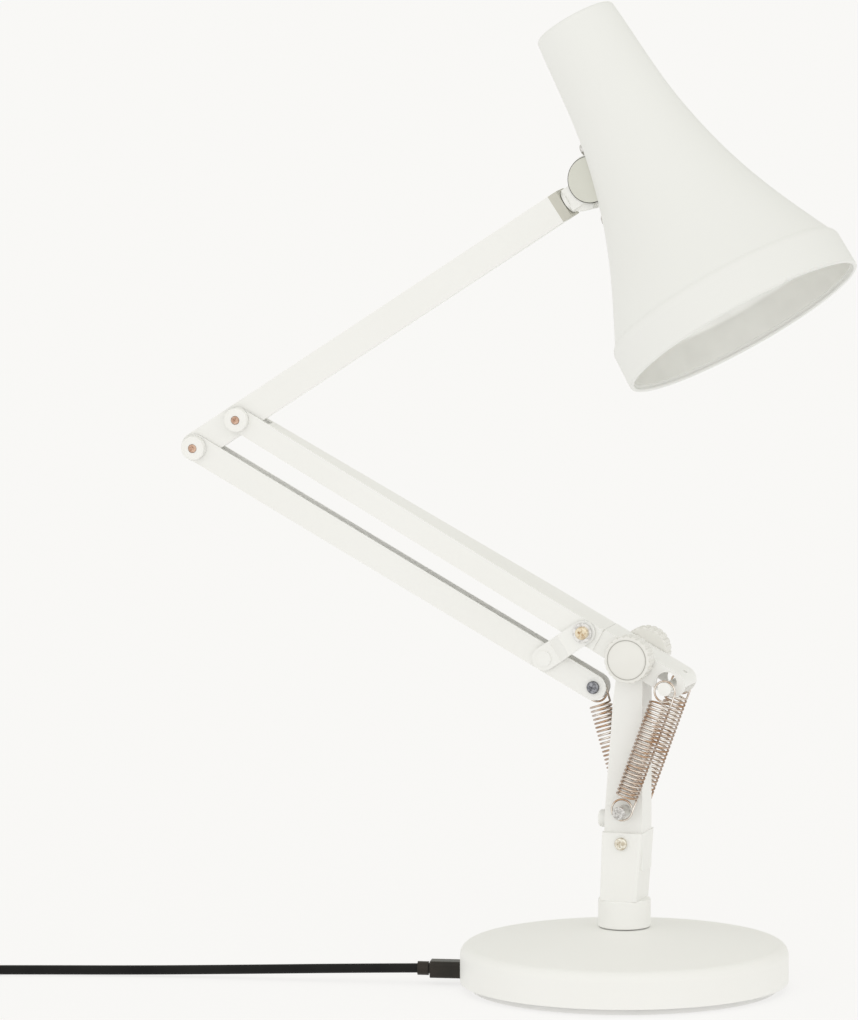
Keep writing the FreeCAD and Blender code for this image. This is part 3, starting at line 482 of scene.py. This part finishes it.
# mixes two of the group's colours by a mask, and spreads a noise over its two roughnesses
def finishGroup(group, given, out, mask, deepColour, height):
    mix = addNode(group, "ShaderNodeMix", data_type="RGBA")
    group.links.new(mask, mix.inputs["Factor"])
    group.links.new(given.outputs["Colour"], mix.inputs["A"])
    group.links.new(given.outputs[deepColour], mix.inputs["B"])
    rough = addNode(group, "ShaderNodeMapRange")
    group.links.new(height, rough.inputs["Value"])
    group.links.new(given.outputs["Rough Low"], rough.inputs["To Min"])
    group.links.new(given.outputs["Rough High"], rough.inputs["To Max"])
    group.links.new(mix.outputs["Result"], out.inputs["Colour"])
    group.links.new(rough.outputs["Result"], out.inputs["Roughness"])
    group.links.new(height, out.inputs["Height"])


groupOutputs = [("Colour", "NodeSocketColor"), ("Roughness", "NodeSocketFloat"),
                ("Height", "NodeSocketFloat")]

grainNoise = {"detail": 3.0, "rough": 0.6, "driftDetail": 2.0, "driftLow": 0.35, "driftHigh": 0.75}

streakNoise = {"detail": 2.0, "markLow": 0.42, "markHigh": 0.62}


# fine grain over a slow drift of tone, for paint, plastics and rubber
def makeGrainGroup():
    group, given, out = newGroup(
        "surfaceGrain",
        [("Colour", "NodeSocketColor", (0.9, 0.9, 0.86, 1)),
         ("Deep Colour", "NodeSocketColor", (0.8, 0.8, 0.76, 1)),
         ("Grain Scale", "NodeSocketFloat", 900.0), ("Drift Scale", "NodeSocketFloat", 18.0),
         ("Rough Low", "NodeSocketFloat", 0.4), ("Rough High", "NodeSocketFloat", 0.5)],
        groupOutputs)
    coords = addNode(group, "ShaderNodeTexCoord").outputs["Object"]
    grain = noiseAt(group, coords, given.outputs["Grain Scale"], grainNoise["detail"], grainNoise["rough"])
    drift = noiseAt(group, coords, given.outputs["Drift Scale"], grainNoise["driftDetail"])
    ramp = addNode(group, "ShaderNodeMapRange")
    ramp.inputs["From Min"].default_value = grainNoise["driftLow"]
    ramp.inputs["From Max"].default_value = grainNoise["driftHigh"]
    group.links.new(drift, ramp.inputs["Value"])
    finishGroup(group, given, out, ramp.outputs["Result"], "Deep Colour", grain)
    return group


# drawn or brushed metal: streaks stretched along one direction, with darker marks
def makeBrushGroup():
    group, given, out = newGroup(
        "metalStreaks",
        [("Colour", "NodeSocketColor", (0.7, 0.7, 0.69, 1)),
         ("Mark Colour", "NodeSocketColor", (0.4, 0.38, 0.36, 1)),
         ("Stretch", "NodeSocketVector", (400.0, 400.0, 3000.0)), ("Mark Amount", "NodeSocketFloat", 0.4),
         ("Rough Low", "NodeSocketFloat", 0.2), ("Rough High", "NodeSocketFloat", 0.35)],
        groupOutputs)
    coords = addNode(group, "ShaderNodeTexCoord").outputs["Object"]
    stretch = addNode(group, "ShaderNodeVectorMath", operation="MULTIPLY")
    group.links.new(coords, stretch.inputs[0])
    group.links.new(given.outputs["Stretch"], stretch.inputs[1])
    streak = noiseAt(group, stretch.outputs["Vector"], 1.0, streakNoise["detail"])
    marks = addNode(group, "ShaderNodeMapRange")
    marks.inputs["From Min"].default_value = streakNoise["markLow"]
    marks.inputs["From Max"].default_value = streakNoise["markHigh"]
    group.links.new(streak, marks.inputs["Value"])
    group.links.new(given.outputs["Mark Amount"], marks.inputs["To Max"])
    finishGroup(group, given, out, marks.outputs["Result"], "Mark Colour", streak)
    return group


# materials

reliefDepth = 0.00005


def surfaceMaterial(name, group, values, bump, **shaderValues):
    material = bpy.data.materials.new(name)
    material.use_nodes = True
    tree = material.node_tree
    shader = tree.nodes["Principled BSDF"]
    for label, value in shaderValues.items():
        shader.inputs[label.replace("_", " ")].default_value = value
    look = addNode(tree, "ShaderNodeGroup", node_tree=group)
    for label, value in values.items():
        look.inputs[label].default_value = value
    tree.links.new(look.outputs["Colour"], shader.inputs["Base Color"])
    tree.links.new(look.outputs["Roughness"], shader.inputs["Roughness"])
    relief = addNode(tree, "ShaderNodeBump")
    relief.inputs["Strength"].default_value = bump
    relief.inputs["Distance"].default_value = reliefDepth
    tree.links.new(look.outputs["Height"], relief.inputs["Height"])
    tree.links.new(relief.outputs["Normal"], shader.inputs["Normal"])
    return material


# painted shade: the metal takes a darker colour where it curves away from the eye, so this changes with the view
def paintEdgeShade(material, colour, blend):
    tree = material.node_tree
    shader = tree.nodes["Principled BSDF"]
    plain = shader.inputs["Base Color"].links[0].from_socket
    weight = addNode(tree, "ShaderNodeLayerWeight")
    weight.inputs["Blend"].default_value = blend
    mix = addNode(tree, "ShaderNodeMix", data_type="RGBA")
    tree.links.new(weight.outputs["Facing"], mix.inputs["Factor"])
    tree.links.new(plain, mix.inputs["A"])
    mix.inputs["B"].default_value = colour
    tree.links.new(mix.outputs["Result"], shader.inputs["Base Color"])


paints = {
    "cream_paint": dict(colour=(0.890, 0.888, 0.862, 1), deep=(0.875, 0.872, 0.840, 1), grain=1500.0,
                        drift=14.0, rough=(0.42, 0.54), bump=0.12),
    # the cream paint made a little darker for the lampshade: painted shade
    "lampshade_shaded_paint": dict(colour=(0.845, 0.848, 0.822, 1), deep=(0.828, 0.830, 0.800, 1), grain=1500.0,
                        drift=12.0, rough=(0.42, 0.54), bump=0.12),
    "knob_plastic": dict(colour=(0.835, 0.825, 0.785, 1), deep=(0.805, 0.795, 0.750, 1), grain=2600.0,
                         drift=60.0, rough=(0.36, 0.46), bump=0.05),
    "white_plastic": dict(colour=(0.90, 0.895, 0.865, 1), deep=(0.87, 0.865, 0.83, 1), grain=2400.0,
                          drift=90.0, rough=(0.30, 0.42), bump=0.04),
    "grey_plastic": dict(colour=(0.70, 0.70, 0.63, 1), deep=(0.67, 0.67, 0.60, 1), grain=2200.0, drift=70.0,
                         rough=(0.40, 0.52), bump=0.08),
    "band_plastic": dict(colour=(0.60, 0.59, 0.52, 1), deep=(0.55, 0.54, 0.47, 1), grain=2200.0, drift=70.0,
                         rough=(0.40, 0.52), bump=0.08),
    # darker plastic for the knob rings: painted shade of the groove
    "groove_shade_plastic": dict(colour=(0.50, 0.49, 0.45, 1), deep=(0.44, 0.43, 0.40, 1), grain=2200.0, drift=70.0,
                         rough=(0.40, 0.52), bump=0.05),
    "black_plastic": dict(colour=(0.020, 0.018, 0.014, 1), deep=(0.034, 0.028, 0.022, 1), grain=1800.0,
                          drift=120.0, rough=(0.22, 0.38), bump=0.10, shine=0.2),
    "cable_jacket": dict(colour=(0.008, 0.008, 0.008, 1), deep=(0.014, 0.014, 0.013, 1), grain=2000.0,
                         drift=60.0, rough=(0.42, 0.6), bump=0.15, shine=0.12),
    "foot_rubber": dict(colour=(0.92, 0.92, 0.90, 1), deep=(0.88, 0.88, 0.86, 1), grain=1500.0, drift=50.0,
                        rough=(0.7, 0.85), bump=0.3),
    "cast_weight": dict(colour=(0.10, 0.10, 0.10, 1), deep=(0.16, 0.13, 0.11, 1), grain=700.0, drift=40.0,
                        rough=(0.6, 0.85), bump=0.6),
    "circuit_board": dict(colour=(0.02, 0.16, 0.06, 1), deep=(0.03, 0.10, 0.05, 1), grain=900.0, drift=300.0,
                          rough=(0.25, 0.4), bump=0.1),
    "diffuser": dict(colour=(0.88, 0.88, 0.86, 1), deep=(0.84, 0.84, 0.82, 1), grain=1500.0, drift=40.0,
                     rough=(0.35, 0.5), bump=0.05),
    "bush": dict(colour=(0.80, 0.79, 0.74, 1), deep=(0.74, 0.73, 0.68, 1), grain=1800.0, drift=80.0,
                 rough=(0.4, 0.55), bump=0.05),
}

# the edge colours below are painted shade, mixed into the base colour towards each metal's outline
metals = {
    "spring_steel": dict(colour=(0.95, 0.91, 0.85, 1), marks=(0.50, 0.30, 0.16, 1),
                         stretch=(160.0, 160.0, 200.0), amount=0.85, rough=(0.10, 0.20), bump=0.03,
                         edge=(0.26, 0.115, 0.04, 1), edgeShadeBlend=0.55),
    "steel": dict(colour=(0.74, 0.73, 0.71, 1), marks=(0.30, 0.28, 0.26, 1), stretch=(900.0, 300.0, 900.0),
                  amount=0.6, rough=(0.16, 0.32), bump=0.08),
    "bright_steel": dict(colour=(0.86, 0.85, 0.83, 1), marks=(0.50, 0.48, 0.46, 1),
                         stretch=(900.0, 300.0, 900.0), amount=0.6, rough=(0.18, 0.30), bump=0.08),
    "pale_screw": dict(colour=(0.90, 0.87, 0.77, 1), marks=(0.45, 0.36, 0.22, 1),
                       stretch=(700.0, 300.0, 700.0), amount=0.6, rough=(0.2, 0.34), bump=0.08,
                       edge=(0.35, 0.27, 0.16, 1), edgeShadeBlend=0.2),
    "dark_chrome": dict(colour=(0.42, 0.43, 0.46, 1), marks=(0.08, 0.08, 0.09, 1),
                        stretch=(700.0, 300.0, 700.0), amount=0.7, rough=(0.08, 0.16), bump=0.05,
                        edge=(0.05, 0.05, 0.06, 1), edgeShadeBlend=0.35),
    "gold_screw": dict(colour=(0.86, 0.76, 0.58, 1), marks=(0.42, 0.26, 0.12, 1),
                       stretch=(800.0, 300.0, 800.0), amount=0.6, rough=(0.16, 0.32), bump=0.08),
    "copper_screw": dict(colour=(0.74, 0.52, 0.40, 1), marks=(0.36, 0.19, 0.12, 1),
                         stretch=(900.0, 300.0, 900.0), amount=0.6, rough=(0.18, 0.32), bump=0.08),
    "lamp_aluminium": dict(colour=(0.72, 0.72, 0.71, 1), marks=(0.50, 0.50, 0.49, 1),
                           stretch=(500.0, 500.0, 500.0), amount=0.4, rough=(0.35, 0.5), bump=0.2),
    "shade_lining": dict(colour=(0.90, 0.90, 0.87, 1), marks=(0.84, 0.84, 0.81, 1),
                         stretch=(90.0, 90.0, 90.0), amount=0.5, rough=(0.34, 0.42), bump=0.03, metal=0.55),
}

# nodes whose finish differs from the rest of their slot; the shade shell's darker cream is painted shade
nodeLooks = {"forearm_plug": "band_plastic", "centre_spring_pin": "dark_chrome",
             "link_washer": "bright_steel", "block_screw": "pale_screw", "shade_shell": "lampshade_shaded_paint"}


def makeMaterials():
    grain = makeGrainGroup()
    brush = makeBrushGroup()
    made = {}
    for name, look in paints.items():
        made[name] = surfaceMaterial(
            name, grain,
            {"Colour": look["colour"], "Deep Colour": look["deep"], "Grain Scale": look["grain"],
             "Drift Scale": look["drift"], "Rough Low": look["rough"][0], "Rough High": look["rough"][1]},
            bump=look["bump"], Specular_IOR_Level=look.get("shine", 0.5))
    for name, look in metals.items():
        made[name] = surfaceMaterial(
            name, brush,
            {"Colour": look["colour"], "Mark Colour": look["marks"], "Stretch": look["stretch"],
             "Mark Amount": look["amount"], "Rough Low": look["rough"][0], "Rough High": look["rough"][1]},
            bump=look["bump"], Metallic=look.get("metal", 1.0))
        # painted shade towards the outline of the metals that have an edge colour
        if "edge" in look:
            paintEdgeShade(made[name], look["edge"], look["edgeShadeBlend"])
    return made


def paintNodes(made):
    for name, piece in frame["nodes"].items():
        piece.data.materials.clear()
        piece.data.materials.append(made[nodeLooks.get(name, slotOf[name])])


# floor and light

floorSheet = {
    "reach": 14.0,
    "colour": (0.955, 0.948, 0.935, 1.0),
    "base": 0.20,                # share of the colour that shadows can darken
    "glow": 0.805,
    "rough": 0.9,
}

light = {
    "front": (0.30, -0.94, 0.05),
    "frontColour": (1.145, 1.14, 1.12, 1.0),
    "backColour": (0.695, 0.695, 0.645, 1.0),
    "frontShare": 1.0,
}


def makeFloor():
    mesh = bpy.data.meshes.new("floorSheet")
    reach = floorSheet["reach"]
    corners = [(-reach, -reach, 0), (reach, -reach, 0), (reach, reach, 0), (-reach, reach, 0)]
    mesh.from_pydata(corners, [], [(0, 1, 2, 3)])
    floor = bpy.data.objects.new("floorSheet", mesh)
    bpy.context.scene.collection.objects.link(floor)
    material = bpy.data.materials.new("paleFloor")
    material.use_nodes = True
    shader = material.node_tree.nodes["Principled BSDF"]
    base = tuple(v * floorSheet["base"] for v in floorSheet["colour"][:3])
    shader.inputs["Base Color"].default_value = base + (1.0,)
    shader.inputs["Roughness"].default_value = floorSheet["rough"]
    shader.inputs["Specular IOR Level"].default_value = 0.0
    shader.inputs["Emission Color"].default_value = floorSheet["colour"]
    shader.inputs["Emission Strength"].default_value = floorSheet["glow"]
    mesh.materials.append(material)


# a dome that is brighter towards the front
def makeLight():
    world = bpy.data.worlds.new("softDome")
    bpy.context.scene.world = world
    world.use_nodes = True
    tree = world.node_tree
    background = tree.nodes["Background"]
    coords = addNode(tree, "ShaderNodeTexCoord").outputs["Generated"]
    facing = addNode(tree, "ShaderNodeVectorMath", operation="DOT_PRODUCT")
    facing.inputs[1].default_value = Vector(light["front"]).normalized()
    tree.links.new(coords, facing.inputs[0])
    level = addNode(tree, "ShaderNodeMapRange")
    level.inputs["From Min"].default_value = -1.0
    level.inputs["From Max"].default_value = light["frontShare"]
    tree.links.new(facing.outputs["Value"], level.inputs["Value"])
    mix = addNode(tree, "ShaderNodeMix", data_type="RGBA")
    mix.inputs["A"].default_value = light["backColour"]
    mix.inputs["B"].default_value = light["frontColour"]
    tree.links.new(level.outputs["Result"], mix.inputs["Factor"])
    tree.links.new(mix.outputs["Result"], background.inputs["Color"])


makeCamera()
cord = makeCable()
print("camera and cable made")

made = makeMaterials()
paintNodes(made)
cord.data.materials.append(made["cable_jacket"])
print("materials made")

tie = makeCoilTie(made["black_plastic"])
makeOuterSprings(made["spring_steel"])
makeCentreSpring(made["spring_steel"])
print("springs made")

makeKnobRings(made["groove_shade_plastic"])
makeFrictionDiscs(made["grey_plastic"], made["black_plastic"])
print("knob rings and friction discs made")

makeFloor()
makeLight()
bpy.context.scene.view_settings.view_transform = "Standard"
print("floor and light made")
